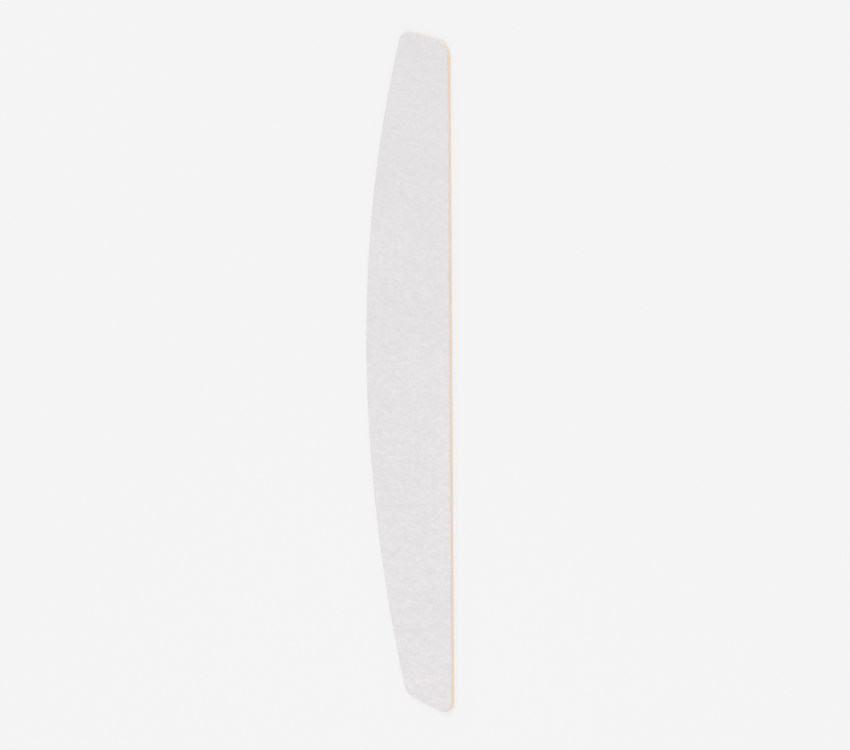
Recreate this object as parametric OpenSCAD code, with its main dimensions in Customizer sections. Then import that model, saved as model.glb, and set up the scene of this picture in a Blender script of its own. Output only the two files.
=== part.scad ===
// Half-moon nail file: a thin wooden core with a sheet of abrasive paper
// glued on each side, die-cut in one stroke to a crescent outline.
//
// It lies flat, as it is put down: +Y runs along its length, the straight edge
// is at +X, the curved edge at -X, the upper face looks along +Z and the lower
// face rests on the ground. The origin is the middle of the lower face.

/* [Outline] */
// Overall length, end to end
file_len = 178; // [120:1:200]
// Width at the middle, straight edge to the crown of the curved edge
file_w = 28; // [22:0.5:34]
// Width at the ends, before the corners are rounded
end_w = 15.3; // [12:0.1:18]
// Slant of the end cuts, in degrees: the straight edge is the longer one
end_slant = 4.5; // [0:0.5:8]
// Corner radius beside the straight edge
corner_r = 3.5; // [1:0.1:5]
// Corner radius where an end cut meets the curved edge
arc_corner_r = 3.5; // [1:0.1:5]

/* [Laminate] */
// Thickness of the wooden core
core_t = 0.50; // [0.4:0.05:1.2]
// Thickness of each adhesive film
glue_t = 0.03; // [0.02:0.01:0.1]
// Thickness of each backing paper
paper_t = 0.10; // [0.06:0.01:0.3]
// Thickness of the resin bed that the grains are set in
bed_t = 0.02; // [0.02:0.01:0.06]
// Thickness of the grain layer, from the resin bed to the grain tips
grit_t = 0.10; // [0.05:0.01:0.3]

/* [Hidden] */
$fn = 96;

// length of the straight edge between the two sharp corners that the
// rounding takes away
slant_k = (1 + sin(end_slant)) / cos(end_slant);
edge_len = file_len + 2 * corner_r * (slant_k - 1);

// curved edge: one arc through both sharp end corners and the crown
half_x = file_w / 2;
corner_x = half_x - end_w;
corner_y = edge_len / 2 - end_w * tan(end_slant);
sagitta = file_w - end_w;
arc_r = (corner_y * corner_y + sagitta * sagitta) / (2 * sagitta);
arc_x = arc_r - half_x;

// outward direction of the upper end cut
cut_n = [-sin(end_slant), cos(end_slant)];

// corner beside the straight edge: its centre and its two tangent points
c1 = [half_x - corner_r, edge_len / 2 - corner_r * slant_k];
t1_edge = [half_x, c1[1]];
t1_cut = c1 + corner_r * cut_n;

// corner at the curved edge: its centre lies arc_corner_r inside both the
// end cut and the arc
m = tan(end_slant);
b = edge_len / 2 - half_x * m - arc_corner_r / cos(end_slant);
qa = 1 + m * m;
qb = 2 * (m * b - arc_x);
qc = arc_x * arc_x + b * b - pow(arc_r - arc_corner_r, 2);
c2_x = (-qb - sqrt(qb * qb - 4 * qa * qc)) / (2 * qa);
c2 = [c2_x, m * c2_x + b];
t2_cut = c2 + arc_corner_r * cut_n;
arc_dir = (c2 - [arc_x, 0]) / norm(c2 - [arc_x, 0]);
t2_arc = [arc_x, 0] + arc_r * arc_dir;

// the faces between the layers, counted outward from the middle of the core
glue_z = core_t / 2;
paper_z = glue_z + glue_t;
bed_z = paper_z + paper_t;
grit_z = bed_z + bed_t;
face_z = grit_z + grit_t;

function flip(p) = [p[0], -p[1]];

// The crescent, straight edge to the right, centred on its length.
module crescent() {
    // body between the tangent points
    polygon([t1_edge, t1_cut, t2_cut, t2_arc,
             flip(t2_arc), flip(t2_cut), flip(t1_cut), flip(t1_edge)]);
    // crown: the slice of the large disc between the two arc corners
    intersection() {
        translate([arc_x, 0]) circle(r = arc_r, $fn = 720);
        polygon([t2_arc - 6 * arc_dir, t2_arc + 4 * arc_dir,
                 [-half_x - 8, t2_arc[1]], [-half_x - 8, -t2_arc[1]],
                 flip(t2_arc + 4 * arc_dir), flip(t2_arc - 6 * arc_dir)]);
    }
    // the four rounded corners
    for (s = [1, -1]) {
        translate([c1[0], s * c1[1]]) circle(r = corner_r);
        translate([c2[0], s * c2[1]]) circle(r = arc_corner_r);
    }
}

// One layer of the laminate. z0 and z1 are counted from the middle of the
// core, which lies face_z above the ground.
module layer(z0, z1) {
    translate([0, 0, face_z + min(z0, z1)])
        linear_extrude(height = abs(z1 - z0)) crescent();
}

module wood_core() { color([0.94, 0.82, 0.67]) layer(-glue_z, glue_z); }

module upper_adhesive() { color([0.90, 0.86, 0.76]) layer(glue_z, paper_z); }
module upper_backing_paper() { color([0.95, 0.94, 0.92]) layer(paper_z, bed_z); }
module upper_resin_bed() { color([0.86, 0.84, 0.82]) layer(bed_z, grit_z); }
module upper_grit_coat() { color([0.89, 0.88, 0.885]) layer(grit_z, face_z); }

module lower_adhesive() { color([0.90, 0.86, 0.76]) layer(-paper_z, -glue_z); }
module lower_backing_paper() { color([0.95, 0.94, 0.92]) layer(-bed_z, -paper_z); }
module lower_resin_bed() { color([0.86, 0.84, 0.82]) layer(-grit_z, -bed_z); }
module lower_grit_coat() { color([0.89, 0.88, 0.885]) layer(-face_z, -grit_z); }

wood_core();
upper_adhesive();
upper_backing_paper();
upper_resin_bed();
upper_grit_coat();
lower_adhesive();
lower_backing_paper();
lower_resin_bed();
lower_grit_coat();
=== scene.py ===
import bpy, math
import numpy as np
from mathutils import Matrix, Vector


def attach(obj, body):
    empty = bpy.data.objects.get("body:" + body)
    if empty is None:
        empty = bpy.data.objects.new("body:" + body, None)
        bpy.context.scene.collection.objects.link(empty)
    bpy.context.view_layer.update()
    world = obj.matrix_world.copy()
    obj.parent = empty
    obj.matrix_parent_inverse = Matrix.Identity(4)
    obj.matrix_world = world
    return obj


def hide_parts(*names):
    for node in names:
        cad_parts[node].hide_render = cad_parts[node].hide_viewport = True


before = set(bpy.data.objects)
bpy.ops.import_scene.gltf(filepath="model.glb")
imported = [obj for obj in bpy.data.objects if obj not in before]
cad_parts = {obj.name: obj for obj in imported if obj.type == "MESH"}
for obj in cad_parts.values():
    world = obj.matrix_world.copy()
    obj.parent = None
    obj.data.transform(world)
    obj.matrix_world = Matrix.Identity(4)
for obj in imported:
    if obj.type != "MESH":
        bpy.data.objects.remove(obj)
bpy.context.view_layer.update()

MM = 0.001
STREAK = math.radians(14)   # the sheet's clumps of grit run across the file, this much off square

# ---------------------------------------------------------------- design
# The outline and the layers, as in the CAD model, in millimetres.
LEN, WID, END_W, SLANT, R1, R2 = 178.0, 28.0, 15.3, math.radians(4.5), 3.5, 3.5
Z = {"lower_grit_coat": (0.00, 0.10), "lower_resin_bed": (0.10, 0.12),
     "lower_backing_paper": (0.12, 0.22), "lower_adhesive": (0.22, 0.25),
     "wood_core": (0.25, 0.75), "upper_adhesive": (0.75, 0.78),
     "upper_backing_paper": (0.78, 0.88), "upper_resin_bed": (0.88, 0.90),
     "upper_grit_coat": (0.90, 1.00)}

HX = WID / 2
K = (1 + math.sin(SLANT)) / math.cos(SLANT)
EDGE = LEN + 2 * R1 * (K - 1)
CX, CY = HX - END_W, EDGE / 2 - END_W * math.tan(SLANT)
SAG = WID - END_W
AR = (CY * CY + SAG * SAG) / (2 * SAG)
A0 = np.array([AR - HX, 0.0])
CUT_N = np.array([-math.sin(SLANT), math.cos(SLANT)])
CUT_T = np.array([math.cos(SLANT), math.sin(SLANT)])
C1 = np.array([HX - R1, EDGE / 2 - R1 * K])
T1 = C1 + R1 * CUT_N
_m = math.tan(SLANT)
_b = EDGE / 2 - HX * _m - R2 / math.cos(SLANT)
_qa, _qb, _qc = 1 + _m * _m, 2 * (_m * _b - A0[0]), A0[0] ** 2 + _b * _b - (AR - R2) ** 2
_x = (-_qb - math.sqrt(_qb * _qb - 4 * _qa * _qc)) / (2 * _qa)
C2 = np.array([_x, _m * _x + _b])
T2 = C2 + R2 * CUT_N
ARC_D = (C2 - A0) / np.linalg.norm(C2 - A0)


def outline(step):
    """Points round the crescent, counter-clockwise seen from above, with their outward normals and their distance along the edge."""
    a_cut = math.atan2(CUT_N[1], CUT_N[0])
    a_arc = math.atan2(ARC_D[1], ARC_D[0])
    parts = [("line", np.array([HX, 0.0]), np.array([HX, C1[1]]), np.array([1.0, 0.0])),
             ("arc", C1, R1, 0.0, a_cut),
             ("line", T1, T2, CUT_N),
             ("arc", C2, R2, a_cut, a_arc),
             ("arc", A0, AR, a_arc, 2 * math.pi - a_arc),
             ("arc", C2 * [1, -1], R2, 2 * math.pi - a_arc, 2 * math.pi - a_cut),
             ("line", T2 * [1, -1], T1 * [1, -1], CUT_N * [1, -1]),
             ("arc", C1 * [1, -1], R1, 2 * math.pi - a_cut, 2 * math.pi),
             ("line", np.array([HX, -C1[1]]), np.array([HX, 0.0]), np.array([1.0, 0.0]))]
    lens = [np.linalg.norm(p[2] - p[1]) if p[0] == "line" else p[2] * (p[4] - p[3]) for p in parts]
    total = sum(lens)
    n = int(round(total / step))
    s = np.arange(n) * total / n
    P, N = np.zeros((n, 2)), np.zeros((n, 2))
    start = 0.0
    for p, ln in zip(parts, lens):
        k = (s >= start - 1e-9) & (s < start + ln - 1e-9)
        t = (s[k] - start) / ln
        if p[0] == "line":
            P[k] = p[1] + t[:, None] * (p[2] - p[1])
            N[k] = p[3]
        else:
            a = p[3] + t * (p[4] - p[3])
            N[k] = np.stack([np.cos(a), np.sin(a)], 1)
            P[k] = p[1] + p[2] * N[k]
        start += ln
    return P, N, s, total


def sdf(p):
    """Signed distance to the outline (negative inside) and its direction."""
    q = np.stack([p[:, 0], np.abs(p[:, 1])], 1)
    flip = np.where(p[:, 1] < 0, -1.0, 1.0)
    d1 = q - C1
    d2 = q - C2
    r1, r2 = np.linalg.norm(d1, axis=1), np.linalg.norm(d2, axis=1)
    perp = np.array([-ARC_D[1], ARC_D[0]]) * -1.0
    in1 = (d1[:, 1] > 0) & (d1 @ CUT_T > 0)
    in2 = (d2 @ CUT_T < 0) & (d2 @ perp > 0)
    ra = np.linalg.norm(q - A0, axis=1)
    cand = np.stack([q[:, 0] - HX, (q - T1) @ CUT_N, ra - AR], 1)
    k = cand.argmax(1)
    d = cand[np.arange(len(q)), k]
    g = np.where((k == 0)[:, None], np.array([1.0, 0.0]),
                 np.where((k == 1)[:, None], CUT_N, (q - A0) / ra[:, None]))
    d = np.where(in1, r1 - R1, np.where(in2, r2 - R2, d))
    g = np.where(in1[:, None], d1 / np.maximum(r1, 1e-9)[:, None],
                 np.where(in2[:, None], d2 / np.maximum(r2, 1e-9)[:, None], g))
    return d, g * np.stack([np.ones(len(q)), flip], 1)


# ---------------------------------------------------------------- noise
def lattice(rng, shape):
    return rng.random(shape) * 2 - 1


def value2(rng, x, y, sx, sy, wrap_x=None):
    """Smooth noise in -1..1 with cells sx by sy millimetres. wrap_x closes it on itself along x."""
    u, v = (x - x.min()) / sx, (y - y.min()) / sy
    nx = int(math.ceil(u.max())) + 2
    if wrap_x:
        nx = max(3, int(round(wrap_x / sx)))
        u = x / wrap_x * nx
    ny = int(math.ceil(v.max())) + 2
    L = lattice(rng, (nx + 1, ny + 1))
    if wrap_x:
        L[nx] = L[0]
    i, j = np.floor(u).astype(int), np.floor(v).astype(int)
    fu, fv = u - i, v - j
    if wrap_x:
        i %= nx
    fu, fv = fu * fu * (3 - 2 * fu), fv * fv * (3 - 2 * fv)
    i = np.clip(i, 0, nx - 1)
    j = np.clip(j, 0, ny - 1)
    return ((L[i, j] * (1 - fu) + L[i + 1, j] * fu) * (1 - fv)
            + (L[i, j + 1] * (1 - fu) + L[i + 1, j + 1] * fu) * fv)


# ---------------------------------------------------------------- meshes
def make_mesh(name, verts_mm, tris=None, quads=None, uv=None):
    """A mesh object from arrays, in metres, at the row frame's origin. uv holds each corner's place on the map, the triangles' first."""
    me = bpy.data.meshes.new(name)
    faces = []
    tris = np.zeros((0, 3), int) if tris is None else np.asarray(tris, int)
    quads = np.zeros((0, 4), int) if quads is None else np.asarray(quads, int)
    v = np.asarray(verts_mm, float) * MM
    me.vertices.add(len(v))
    me.vertices.foreach_set("co", v.astype(np.float32).ravel())
    nl = len(tris) * 3 + len(quads) * 4
    me.loops.add(nl)
    me.loops.foreach_set("vertex_index", np.concatenate([tris.ravel(), quads.ravel()]).astype(np.int32))
    me.polygons.add(len(tris) + len(quads))
    start = np.concatenate([np.arange(len(tris)) * 3, len(tris) * 3 + np.arange(len(quads)) * 4])
    me.polygons.foreach_set("loop_start", start.astype(np.int32))
    me.update(calc_edges=True)
    if me.validate():
        print("mesh repaired:", name)
    layer = me.uv_layers.new(name="OFBake", do_init=False)
    layer.uv.foreach_set("vector", np.concatenate([part.reshape(-1) for part in uv]).astype(np.float32))
    ob = bpy.data.objects.new(name, me)
    bpy.context.scene.collection.objects.link(ob)
    return ob


def zipper(P, ids):
    """Triangles that fill a closed loop which runs once up and once down along Y. P: points, ids: their indices, counter-clockwise."""
    n = len(P)
    top, bot = int(P[:, 1].argmax()), int(P[:, 1].argmin())
    right, left = [bot], [bot]
    k = bot
    while k != top:
        k = (k + 1) % n
        right.append(k)
    k = bot
    while k != top:
        k = (k - 1) % n
        left.append(k)
    out, a, b = [], 0, 0
    while a < len(right) - 1 or b < len(left) - 1:
        take_right = b == len(left) - 1 or (a < len(right) - 1 and P[right[a + 1], 1] <= P[left[b + 1], 1])
        if take_right:
            if left[b] != right[a + 1] and left[b] != right[a]:
                out.append((ids[right[a]], ids[right[a + 1]], ids[left[b]]))
            a += 1
        else:
            if right[a] != left[b + 1] and right[a] != left[b]:
                out.append((ids[right[a]], ids[left[b + 1]], ids[left[b]]))
            b += 1
    return np.array(out)


def cap_map(xy, low, high):
    """A place on the map for points of a flat cap: the whole crescent in one band from low to high."""
    return np.stack([0.01 + 0.98 * (xy[..., 1] / LEN + 0.5), low + (high - low) * (xy[..., 0] / WID + 0.5)], -1)


def band_map(s, t, seg, count, total, low, high):
    """A place on the map for points of the cut edge: its length folded into count rows. s: along the edge, t: 0 to 1 up it."""
    row = (high - low) / count
    return np.stack([0.01 + 0.98 * (s * count / total - seg), low + row * (seg + 0.06 + 0.88 * t)], -1)


def slab(name, step, rows, wall):
    """One layer of the laminate as a closed mesh whose cut edge has its own relief. wall(s, z, N) is how far the edge stands out, in millimetres."""
    z0, z1 = Z[name]
    P, N, s, total = outline(step)
    n = len(P)
    zz = z0 + (z1 - z0) * np.asarray(rows)
    m = len(zz)
    S, ZZ = np.meshgrid(s, zz)
    NN = np.repeat(N[None], m, 0)
    off = wall(S, ZZ, NN, total)
    xy = P[None] + NN * off[..., None]
    V = np.concatenate([xy, ZZ[..., None]], 2).reshape(-1, 3)
    k = np.arange(n)
    k1 = (k + 1) % n
    quads = [np.stack([r * n + k, r * n + k1, (r + 1) * n + k1, (r + 1) * n + k], 1) for r in range(m - 1)]
    top = zipper(P, (m - 1) * n + k)
    low = zipper(P, k)[:, ::-1]
    s0, s1 = s, np.append(s[1:], total)
    seg = np.floor((s0 + s1) / 2 * 24 / total)[:, None]
    along = np.stack([s0, s1, s1, s0], 1)
    places = [cap_map(V[top, :2], 0.95, 0.99), cap_map(V[low, :2], 0.90, 0.94)]
    for r in range(m - 1):
        t = np.array([rows[r], rows[r], rows[r + 1], rows[r + 1]])
        places.append(band_map(along, t + 0 * along, seg, 24, total, 0.01, 0.89))
    return make_mesh(name, V, np.concatenate([top, low]), np.concatenate(quads), places)


def grit(name, seed, pitch, upper):
    """A bed of angular grains: a net of triangles with a tip on every third point, cut to the outline."""
    rng = np.random.default_rng(seed)
    z0, z1 = Z[name]
    row = pitch * math.sqrt(3) / 2
    nj, ni = int(LEN / row) + 6, int(WID / pitch) + 6
    j, i = np.mgrid[0:nj, 0:ni]
    x = -HX - 2 * pitch + (i + 0.5 * (j % 2)) * pitch
    y = -LEN / 2 - 2 * row + j * row
    tip = ((i - j // 2) - j) % 3 == 0
    jit = 0.30 * pitch
    ang = rng.random(x.shape) * 2 * math.pi
    rad = jit * np.sqrt(rng.random(x.shape))
    x = x + rad * np.cos(ang)
    y = y + rad * np.sin(ang)
    p = np.stack([x.ravel(), y.ravel()], 1)
    tip = tip.ravel()
    # heights: 0 is the resin bed, 1 the highest tips
    cs, sn = math.cos(STREAK), math.sin(STREAK)
    clump = value2(rng, p[:, 0] * cs + p[:, 1] * sn, p[:, 1] * cs - p[:, 0] * sn, 1.5, 0.75)
    wide = value2(rng, p[:, 0], p[:, 1], 9.0, 5.0)
    h = np.where(tip, 0.66 + 0.24 * rng.random(len(p)), 0.44 + 0.22 * rng.random(len(p)))
    bare = rng.random(len(p)) < 0.12 - 0.10 * clump
    h = np.where(tip & bare, 0.46 + 0.16 * rng.random(len(p)), h)
    h = np.clip(h + 0.09 * clump + 0.03 * wide, 0.10, 1.0)
    # triangles of the net
    idx = (j * ni + i)
    a, b = idx[:-1, :-1], idx[:-1, 1:]
    c, d = idx[1:, :-1], idx[1:, 1:]
    even = (j[:-1, :-1] % 2 == 0)
    t1 = np.where(even[..., None], np.stack([a, b, c], 2), np.stack([a, b, d], 2))
    t2 = np.where(even[..., None], np.stack([b, d, c], 2), np.stack([a, d, c], 2))
    T = np.concatenate([t1.reshape(-1, 3), t2.reshape(-1, 3)])
    # cut to the outline: points near it are moved on to it, and what still crosses is clipped
    dist, g = sdf(p)
    near = np.abs(dist) < 0.36 * pitch
    p = np.where(near[:, None], p - g * dist[:, None], p)
    dist = np.where(near, 0.0, dist)
    inside = dist <= 0
    T = T[inside[T].any(1)]
    cen = sdf(p[T].mean(1))[0]
    full = inside[T].all(1)
    keep = T[full & (cen < -1e-4)]
    cut = T[~full & (dist[T] < 0).any(1)]
    extra, hs, made, out = [], [], {}, []
    n0 = len(p)
    for t in cut:
        poly = []
        for u in range(3):
            v, w = int(t[u]), int(t[(u + 1) % 3])
            if inside[v]:
                poly.append(v)
            if (dist[v] < 0 < dist[w]) or (dist[w] < 0 < dist[v]):
                key = (min(v, w), max(v, w))
                if key not in made:
                    f = dist[key[0]] / (dist[key[0]] - dist[key[1]])
                    made[key] = n0 + len(extra)
                    extra.append(p[key[0]] * (1 - f) + p[key[1]] * f)
                    hs.append(h[key[0]] * (1 - f) + h[key[1]] * f)
                poly.append(made[key])
        if len(poly) >= 3:
            out += [(poly[0], poly[u], poly[u + 1]) for u in range(1, len(poly) - 1)]
    p = np.concatenate([p, np.array(extra).reshape(-1, 2)])
    h = np.concatenate([h, np.array(hs)])
    T = np.concatenate([keep, np.array(out, int).reshape(-1, 3)])
    used = np.unique(T)
    new = np.full(len(p), -1)
    new[used] = np.arange(len(used))
    T, p, h = new[T], p[used], h[used]
    # the cutting die crushes the grains along the edge
    dist, g = sdf(p)
    h = h * (1 - 0.45 * np.clip(1 + dist / 0.22, 0, 1))
    # boundary loop
    E = np.concatenate([T[:, [0, 1]], T[:, [1, 2]], T[:, [2, 0]]])
    key = E[:, 0].astype(np.int64) * len(p) + E[:, 1]
    back = E[:, 1].astype(np.int64) * len(p) + E[:, 0]
    rim = E[~np.isin(key, back)]
    nxt = dict(map(tuple, rim.tolist()))
    loop = [int(rim[0, 0])]
    while nxt[loop[-1]] != loop[0]:
        loop.append(nxt[loop[-1]])
    loop = np.array(loop)
    if len(loop) != len(rim):
        print("grit rim is not one loop:", name, len(loop), len(rim))
    n, m = len(p), len(loop)
    # ragged edge: some grains break away, some overhang a little
    rag = rng.random(m)
    push = np.where(rag < 0.25, -0.05 * rng.random(m), 0.015 * rng.random(m))
    p2 = p.copy()
    p2[loop] += g[loop] * push[:, None]
    zt = z0 + (z1 - z0) * h
    Vt = np.concatenate([p2, zt[:, None]], 1)
    mid = np.concatenate([p[loop] + g[loop] * (0.012 * rng.standard_normal(m))[:, None],
                          (z0 + (z1 - z0) * h[loop] * (0.35 + 0.2 * rng.random(m)))[:, None]], 1)
    low = np.concatenate([p[loop], np.full((m, 1), z0)], 1)
    V = np.concatenate([Vt, mid, low])
    k = np.arange(m)
    k1 = (k + 1) % m
    top_i, mid_i, low_i = loop, n + k, n + m + k
    q1 = np.stack([mid_i, mid_i[k1], top_i[k1], top_i], 1)
    q2 = np.stack([low_i, low_i[k1], mid_i[k1], mid_i], 1)
    capP = p[loop]
    base = zipper(capP, low_i)[:, ::-1]
    quads = np.concatenate([q1, q2])
    # the map: the grains in three strips side by side, the flat side and the rim in bands below them
    strip = np.floor((V[T][:, :, 1].mean(1) / 59.4 + 1.5)).clip(0, 2)[:, None]
    u = (strip + 0.01 + 0.98 * (V[T][:, :, 0] / 28.2 + 0.5)) / 3
    v = 0.12 + 0.87 * (V[T][:, :, 1] - (strip - 1.5) * 59.4 + 0.3) / 60.0
    s0 = np.concatenate([[0], np.cumsum(np.linalg.norm(np.diff(capP, axis=0), axis=1))])
    total = s0[-1] + np.linalg.norm(capP[0] - capP[-1])
    s1 = np.append(s0[1:], total)
    seg = np.floor((s0 + s1) / 2 * 8 / total)[:, None]
    along = np.stack([s0, s1, s1, s0], 1)
    places = [np.stack([u, v], -1), cap_map(V[base, :2], 0.07, 0.11),
              band_map(along, np.array([0.5, 0.5, 1, 1]) + 0 * along, seg, 8, total, 0.005, 0.06),
              band_map(along, np.array([0, 0, 0.5, 0.5]) + 0 * along, seg, 8, total, 0.005, 0.06)]
    T = np.concatenate([T, base])
    if not upper:
        V[:, 2] = z0 + z1 - V[:, 2]
        T, quads = T[:, ::-1], quads[:, ::-1]
        places = [part[:, ::-1] for part in places]
    return make_mesh(name, V, T, quads, places)


def wood_wall(s, z, N, total):
    rng = np.random.default_rng(11)
    fibre = value2(rng, s, z, 7.0, 0.055, wrap_x=total) * 0.6 + value2(rng, s, z, 2.2, 0.035, wrap_x=total) * 0.4
    pores = value2(rng, s, z, 0.16, 0.08, wrap_x=total)
    chip = value2(rng, s, z, 1.6, 0.5, wrap_x=total)
    end = np.abs(N[..., 1]) ** 2
    lip = np.abs((z - 0.5) / 0.25) ** 3
    side = 0.016 * fibre
    ends = np.where(pores < -0.4, -0.04, 0.010 * pores)
    off = (1 - end) * side + end * ends - 0.010 - 0.02 * np.clip(chip - 0.6, 0, 1)
    return off * (1 - 0.5 * lip) - 0.008 * lip


def paper_wall(seed):
    def wall(s, z, N, total):
        rng = np.random.default_rng(seed)
        fuzz = value2(rng, s, z, 0.35, 0.03, wrap_x=total)
        slow = value2(rng, s, z, 5.0, 0.1, wrap_x=total)
        return 0.004 + 0.010 * fuzz + 0.006 * slow
    return wall


def glue_wall(seed):
    def wall(s, z, N, total):
        rng = np.random.default_rng(seed)
        slow = value2(rng, s, z, 2.4, 0.1, wrap_x=total)
        return -0.014 + 0.014 * np.clip(slow, -0.6, 1.0)
    return wall


def bed_wall(seed):
    def wall(s, z, N, total):
        rng = np.random.default_rng(seed)
        return -0.004 + 0.008 * value2(rng, s, z, 0.5, 0.1, wrap_x=total)
    return wall


# ---------------------------------------------------------------- materials
class Nodes:
    def __init__(self, name):
        self.mat = bpy.data.materials.new(name)
        self.mat.use_nodes = True
        self.t = self.mat.node_tree
        self.t.nodes.clear()
        self.out = self.t.nodes.new("ShaderNodeOutputMaterial")
        self.bsdf = self.t.nodes.new("ShaderNodeBsdfPrincipled")
        self.link(self.bsdf.outputs[0], self.out.inputs[0])
        self.coord = self.t.nodes.new("ShaderNodeTexCoord")

    def link(self, a, b):
        self.t.links.new(a, b)

    def put(self, sock, value):
        if hasattr(value, "links"):
            self.link(value, sock)
        else:
            sock.default_value = value

    def mapping(self, scale, offset=(0, 0, 0)):
        n = self.t.nodes.new("ShaderNodeMapping")
        self.link(self.coord.outputs["Object"], n.inputs["Vector"])
        n.inputs["Scale"].default_value = scale
        n.inputs["Location"].default_value = offset
        return n.outputs["Vector"]

    def cells(self, x, y, z, turn, offset=(0, 0, 0)):
        """Object coordinates in cells of x by y by z millimetres, turned about the file's thickness."""
        n = self.t.nodes.new("ShaderNodeMapping")
        n.vector_type = "TEXTURE"
        self.link(self.coord.outputs["Object"], n.inputs["Vector"])
        n.inputs["Scale"].default_value = (x * MM, y * MM, z * MM)
        n.inputs["Rotation"].default_value = (0, 0, turn)
        n.inputs["Location"].default_value = [c * MM for c in offset]
        return n.outputs["Vector"]

    def noise(self, vec, scale=1.0, detail=2.0, rough=0.5, distort=0.0):
        n = self.t.nodes.new("ShaderNodeTexNoise")
        self.link(vec, n.inputs["Vector"])
        n.inputs["Scale"].default_value = scale
        n.inputs["Detail"].default_value = detail
        n.inputs["Roughness"].default_value = rough
        n.inputs["Distortion"].default_value = distort
        return n.outputs["Fac"]

    def voronoi(self, vec, scale=1.0, feature="F1", out="Distance"):
        n = self.t.nodes.new("ShaderNodeTexVoronoi")
        n.feature = feature
        self.link(vec, n.inputs["Vector"])
        n.inputs["Scale"].default_value = scale
        return n.outputs[out]

    def math(self, op, a, b=0.0, clamp=False):
        n = self.t.nodes.new("ShaderNodeMath")
        n.operation = op
        n.use_clamp = clamp
        self.put(n.inputs[0], a)
        self.put(n.inputs[1], b)
        return n.outputs[0]

    def remap(self, v, a0, a1, b0, b1, clamp=True):
        n = self.t.nodes.new("ShaderNodeMapRange")
        n.clamp = clamp
        self.put(n.inputs["Value"], v)
        n.inputs["From Min"].default_value = a0
        n.inputs["From Max"].default_value = a1
        n.inputs["To Min"].default_value = b0
        n.inputs["To Max"].default_value = b1
        return n.outputs[0]

    def ramp(self, v, stops):
        n = self.t.nodes.new("ShaderNodeValToRGB")
        self.link(v, n.inputs[0])
        e = n.color_ramp.elements
        while len(e) < len(stops):
            e.new(0.5)
        for el, (pos, col) in zip(e, stops):
            el.position = pos
            el.color = (*col, 1)
        return n.outputs["Color"]

    def mix(self, fac, a, b, kind="MIX"):
        n = self.t.nodes.new("ShaderNodeMix")
        n.data_type = "RGBA"
        n.blend_type = kind
        self.put(n.inputs["Factor"], fac)
        self.put(n.inputs["A"], a if hasattr(a, "links") else (*a, 1))
        self.put(n.inputs["B"], b if hasattr(b, "links") else (*b, 1))
        return n.outputs["Result"]

    def split(self):
        n = self.t.nodes.new("ShaderNodeSeparateXYZ")
        self.link(self.coord.outputs["Object"], n.inputs[0])
        return n.outputs

    def bump(self, height, strength, distance):
        n = self.t.nodes.new("ShaderNodeBump")
        self.link(height, n.inputs["Height"])
        n.inputs["Strength"].default_value = strength
        n.inputs["Distance"].default_value = distance
        self.link(n.outputs[0], self.bsdf.inputs["Normal"])

    def scaled(self, colour, factor):
        """A colour times a scalar socket."""
        n = self.t.nodes.new("ShaderNodeVectorMath")
        n.operation = "SCALE"
        self.put(n.inputs[0], colour if hasattr(colour, "links") else Vector(colour[:3]))
        self.put(n.inputs["Scale"], factor)
        return n.outputs[0]


def srgb(r, g, b):
    return tuple(((c / 255 + 0.055) / 1.055) ** 2.4 if c > 10 else c / 255 / 12.92 for c in (r, g, b))


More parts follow.
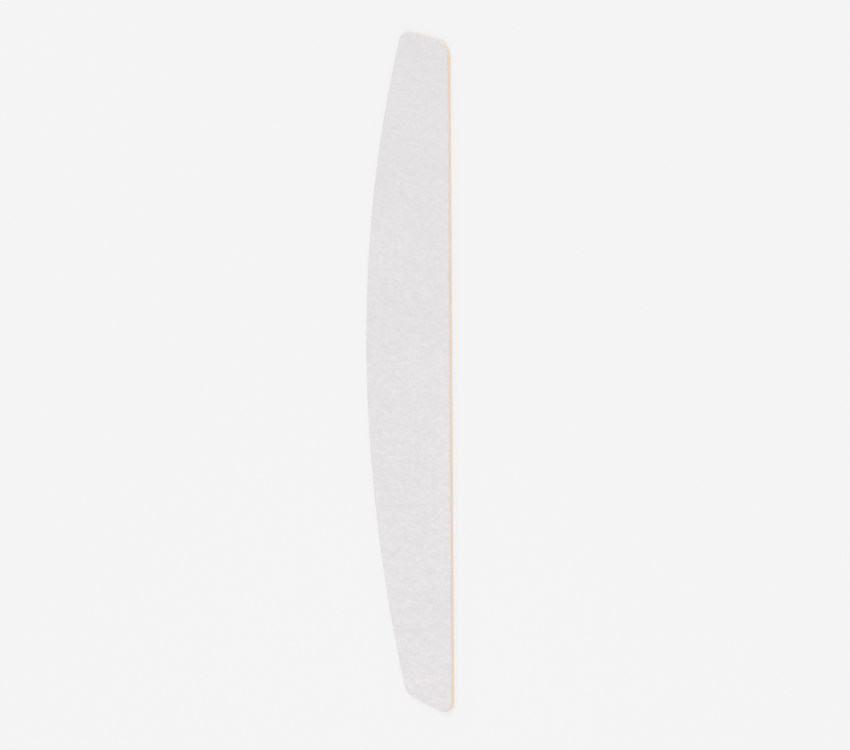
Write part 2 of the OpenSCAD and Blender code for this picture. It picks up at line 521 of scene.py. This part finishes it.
def grit_material(name, shift, z_bed, up):
    """White anti-clog coat over pale grey mineral: fine grains with painted shade in the gaps and low places between
    them, clumps drawn out across the width, a slow unevenness of the coat, and painted light that makes the coat
    lighter towards its -Y end.
    """
    m = Nodes(name)
    per = 1000.0
    at = m.mapping((per, per, per), (shift, 0, 0))
    cell = m.t.nodes.new("ShaderNodeSeparateColor")
    m.link(m.voronoi(at, 6.4, out="Color"), cell.inputs[0])
    dome = m.voronoi(at, 6.4)
    gap = m.voronoi(at, 6.4, feature="DISTANCE_TO_EDGE")
    fine = m.noise(m.cells(0.62, 0.33, 0.5, STREAK, (0, shift, 0)), 1.0, 3.0, 0.6)
    clump = m.noise(m.cells(1.85, 0.78, 1.5, STREAK, (shift, shift, 0)), 1.0, 0.0, 0.5)
    broad = m.noise(m.mapping((per * 0.03, per * 0.05, per * 0.03), (shift, 3, 0)), 1.0, 2.0, 0.5)
    xyz = m.split()
    height = m.remap(m.math("SUBTRACT", xyz[2], z_bed * MM), 0.0, (0.1 if up else -0.1) * MM, 0.0, 1.0)
    along = m.remap(xyz[1], -0.089, 0.089, 0.0, 1.0)
    tone = m.remap(cell.outputs[0], 0.0, 1.0, 0.978, 1.022, False)
    # Painted shade: the coat darker in the gaps between the grains.
    tone = m.math("MULTIPLY", tone, m.remap(gap, 0.0, 0.20, 0.974, 1.0))
    # Painted shade: each grain lighter at its middle and darker towards its rim, as if its rounded top were lit.
    tone = m.math("MULTIPLY", tone, m.remap(dome, 0.10, 0.75, 1.014, 0.945))
    tone = m.math("MULTIPLY", tone, m.remap(fine, 0.25, 0.75, 0.990, 1.010, False))
    swing = m.math("MULTIPLY", m.remap(clump, 0.25, 0.75, -1.0, 1.0, False), m.remap(along, 0.0, 1.0, 0.034, 0.019))
    tone = m.math("MULTIPLY", tone, m.math("ADD", 1.0, swing))
    tone = m.math("MULTIPLY", tone, m.remap(broad, 0.3, 0.7, 0.990, 1.010, False))
    # Painted shade: the coat darker in the low places between the grain tips and lighter on the tips.
    tone = m.math("MULTIPLY", tone, m.remap(height, 0.3, 1.0, 0.992, 1.008))
    spot = m.cells(1.0, 0.44, 0.6, STREAK, (shift, shift, shift))
    pick = m.t.nodes.new("ShaderNodeSeparateColor")
    m.link(m.voronoi(spot, 1.0, out="Color"), pick.inputs[0])
    body = m.remap(m.voronoi(spot, 1.0), 0.15, 0.60, 1.0, 0.0)
    light = m.math("MULTIPLY", m.math("GREATER_THAN", pick.outputs[0], 0.91), 0.060)
    shade = m.math("MULTIPLY", m.math("LESS_THAN", pick.outputs[0], 0.08), 0.060)
    tone = m.math("MULTIPLY", tone, m.math("ADD", 1.0, m.math("MULTIPLY", body, m.math("SUBTRACT", light, shade))))
    dark = m.math("GREATER_THAN", cell.outputs[1], 0.97)
    tone = m.math("MULTIPLY", tone, m.math("SUBTRACT", 1.0, m.math("MULTIPLY", dark, 0.07)))
    # Painted light: the coat colour is about 4% lighter at the -Y end than at the +Y end, as if more light reached that
    # end.
    coat_colour_painted_gradient = m.ramp(along, [(0.0, (0.762, 0.735, 0.744)), (0.5, (0.743, 0.727, 0.735)), (1.0, (0.734, 0.719, 0.728))])
    m.put(m.bsdf.inputs["Base Color"], m.scaled(coat_colour_painted_gradient, tone))
    m.put(m.bsdf.inputs["Roughness"], m.remap(cell.outputs[2], 0.0, 1.0, 0.60, 0.95))
    m.bsdf.inputs["Specular IOR Level"].default_value = 0.25
    rough = m.math("ADD", m.math("MULTIPLY", m.math("SUBTRACT", 1.0, dome), m.remap(cell.outputs[0], 0, 1, 0.5, 1.0)),
                   m.math("MULTIPLY", m.noise(at, 24.0, 2.0, 0.6), 0.22))
    m.bump(rough, 0.8, 0.00007)
    return m.mat


def wood_material():
    """Pale veneer: long streaks on the sides, pores on the ends, from one solid pattern along the grain."""
    m = Nodes("wood_veneer")
    per = 1000.0
    ring = m.noise(m.mapping((per * 1.2, per * 0.012, per * 2.6)), 1.0, 3.0, 0.55, 0.3)
    streak = m.noise(m.mapping((per * 6.0, per * 0.05, per * 9.0)), 1.0, 3.0, 0.6)
    pore = m.voronoi(m.mapping((per * 7.0, per * 0.10, per * 7.0)), 1.0)
    warm = m.noise(m.mapping((per * 0.02, per * 0.03, per * 0.02)), 1.0, 2.0, 0.5)
    base = m.ramp(ring, [(0.25, (0.945, 0.735, 0.53)), (0.5, (0.93, 0.70, 0.485)), (0.75, (0.89, 0.635, 0.415))])
    base = m.mix(m.remap(warm, 0.3, 0.7, 0.0, 0.35), base, (0.94, 0.69, 0.50))
    facing = m.t.nodes.new("ShaderNodeSeparateXYZ")
    m.link(m.coord.outputs["Normal"], facing.inputs[0])
    # Partly end grain, partly painted light: faces turned towards either end of the file get a greyer, less orange
    # colour, standing in for the key light washing out the ends.
    end = m.remap(m.math("ABSOLUTE", facing.outputs[1]), 0.25, 0.90, 0.0, 0.9)
    base = m.mix(end, base, (0.83, 0.71, 0.60))
    tone = m.math("MULTIPLY", m.remap(streak, 0.25, 0.75, 0.93, 1.06, False),
                  m.remap(pore, 0.05, 0.22, 0.80, 1.0))
    m.put(m.bsdf.inputs["Base Color"], m.scaled(base, tone))
    m.put(m.bsdf.inputs["Roughness"], m.remap(streak, 0.3, 0.7, 0.62, 0.82))
    m.bsdf.inputs["Specular IOR Level"].default_value = 0.3
    m.bump(streak, 0.4, 0.00003)
    return m.mat


def paper_material():
    """Cut edge of dense paper: short fibres with small shadows between them."""
    m = Nodes("backing_paper")
    per = 1000.0
    fibre = m.noise(m.mapping((per * 2.0, per * 2.0, per * 16.0)), 1.0, 4.0, 0.6)
    mottle = m.noise(m.mapping((per * 0.3, per * 0.3, per * 0.3)), 1.0, 2.0, 0.5)
    tone = m.math("MULTIPLY", m.remap(fibre, 0.25, 0.75, 0.93, 1.05, False), m.remap(mottle, 0.3, 0.7, 0.97, 1.02, False))
    m.put(m.bsdf.inputs["Base Color"], m.scaled((0.90, 0.88, 0.85), tone))
    m.put(m.bsdf.inputs["Roughness"], m.remap(fibre, 0.3, 0.7, 0.82, 0.96))
    m.bsdf.inputs["Specular IOR Level"].default_value = 0.2
    m.bump(fibre, 0.5, 0.00002)
    return m.mat


def glue_material():
    """Dried adhesive film: pale amber, a little glossy, thicker and darker in places."""
    m = Nodes("dried_adhesive")
    per = 1000.0
    pool = m.noise(m.mapping((per * 0.5, per * 0.5, per * 0.5)), 1.0, 3.0, 0.55)
    col = m.ramp(pool, [(0.3, (0.80, 0.72, 0.58)), (0.7, (0.70, 0.60, 0.44))])
    m.put(m.bsdf.inputs["Base Color"], col)
    m.put(m.bsdf.inputs["Roughness"], m.remap(pool, 0.3, 0.7, 0.35, 0.6))
    m.bump(pool, 0.3, 0.00002)
    return m.mat


def bed_material():
    """Cured resin between the paper and the grains."""
    m = Nodes("resin_bed")
    per = 1000.0
    fine = m.noise(m.mapping((per * 2.0, per * 2.0, per * 2.0)), 1.0, 3.0, 0.6)
    col = m.ramp(fine, [(0.3, (0.66, 0.63, 0.60)), (0.7, (0.74, 0.72, 0.70))])
    m.put(m.bsdf.inputs["Base Color"], col)
    m.put(m.bsdf.inputs["Roughness"], m.remap(fine, 0.3, 0.7, 0.45, 0.7))
    m.bump(fine, 0.3, 0.00002)
    return m.mat


def dress(ob, mat):
    ob.data.materials.clear()
    ob.data.materials.append(mat)
    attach(ob, "root")
    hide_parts(ob.name[:-7])
    return ob


# ---------------------------------------------------------------- pieces
def piece(node, maker, mat):
    ob = maker()
    ob.name = ob.data.name = node + "_detail"
    return dress(ob, mat)


wood = wood_material()
paper = paper_material()
glue = glue_material()
bed = bed_material()

piece("wood_core", lambda: slab("wood_core", 0.16, np.linspace(0, 1, 12), wood_wall), wood)
for k, side in enumerate(("upper", "lower")):
    piece(side + "_adhesive", lambda: slab(side + "_adhesive", 0.4, [0, 0.5, 1], glue_wall(21 + k)), glue)
    piece(side + "_backing_paper", lambda: slab(side + "_backing_paper", 0.2, [0, 0.25, 0.5, 0.75, 1], paper_wall(31 + k)), paper)
    piece(side + "_resin_bed", lambda: slab(side + "_resin_bed", 0.4, [0, 0.5, 1], bed_wall(41 + k)), bed)
    up = side == "upper"
    piece(side + "_grit_coat", lambda: grit(side + "_grit_coat", 51 + k, 0.236, up),
          grit_material(side + "_grit", 17.3 * (k + 1), 0.9 if up else 0.1, up))

# ---------------------------------------------------------------- floor, light, camera
bpy.ops.mesh.primitive_circle_add(vertices=128, radius=8.0, fill_type="NGON", location=(0, 0, 0))
floor = bpy.context.object
floor.name = "floor"
# A white light table: most of its brightness comes from below, so the contact shadow is faint.
fm = Nodes("light_table")
fn = fm.noise(fm.mapping((3, 3, 3)), 1.0, 2.0, 0.5)
glow = fm.remap(fn, 0.3, 0.7, 0.998, 1.002, False)
fm.put(fm.bsdf.inputs["Base Color"], fm.scaled((0.30, 0.30, 0.30), glow))
fm.bsdf.inputs["Roughness"].default_value = 1.0
fm.bsdf.inputs["Specular IOR Level"].default_value = 0.0
fm.bsdf.inputs["Emission Color"].default_value = (1, 1, 1, 1)
fm.put(fm.bsdf.inputs["Emission Strength"], fm.math("MULTIPLY", glow, 0.5655))
floor.data.materials.append(fm.mat)

scene = bpy.context.scene
world = bpy.data.worlds.new("studio")
scene.world = world
world.use_nodes = True
world.node_tree.nodes["Background"].inputs[0].default_value = (1, 1, 1, 1)
world.node_tree.nodes["Background"].inputs[1].default_value = 1.04

sun = bpy.data.lights.new("key", "SUN")
sun.energy = 0.52
sun.angle = math.radians(12)
key = bpy.data.objects.new("key", sun)
travel = Vector((0.05, -0.83, -0.555)).normalized()
key.rotation_mode = "QUATERNION"
key.rotation_quaternion = travel.to_track_quat("-Z", "Y")
key.location = -travel * 3
scene.collection.objects.link(key)

scene.view_settings.view_transform = "Standard"
scene.view_settings.look = "None"
scene.view_settings.exposure = 0
scene.view_settings.gamma = 1

# The photograph's view of the file: 44 degrees to the side of its upper face and 24 degrees towards its far end.
AZ, EL, ROLL = math.radians(43.97), math.radians(23.76), math.radians(-0.383)
PX_MM, DIST = 733.89 / 178.0, 3560.0
back = Vector((math.sin(AZ) * math.cos(EL), math.sin(EL), math.cos(AZ) * math.cos(EL)))
right = Vector((math.cos(AZ), 0, -math.sin(AZ)))
up = Vector((-math.sin(AZ) * math.sin(EL), math.cos(EL), -math.cos(AZ) * math.sin(EL)))
right, up = math.cos(ROLL) * right + math.sin(ROLL) * up, math.cos(ROLL) * up - math.sin(ROLL) * right
anchor = Vector((HX, 0, 1.0))
aim = anchor - right * ((448.90 - 424.5) / PX_MM) + up * ((382.50 - 374.5) / PX_MM)
cam = bpy.data.cameras.new("camera")
cam.sensor_fit = "HORIZONTAL"
cam.sensor_width = 36
cam.lens = PX_MM * DIST * 36 / 850
cam.clip_start, cam.clip_end = 0.1, 100
camera = bpy.data.objects.new("camera", cam)
rot = Matrix((right, up, back)).transposed()
camera.matrix_world = Matrix.Translation((aim + back * DIST) * MM) @ rot.to_4x4()
scene.collection.objects.link(camera)
scene.camera = camera
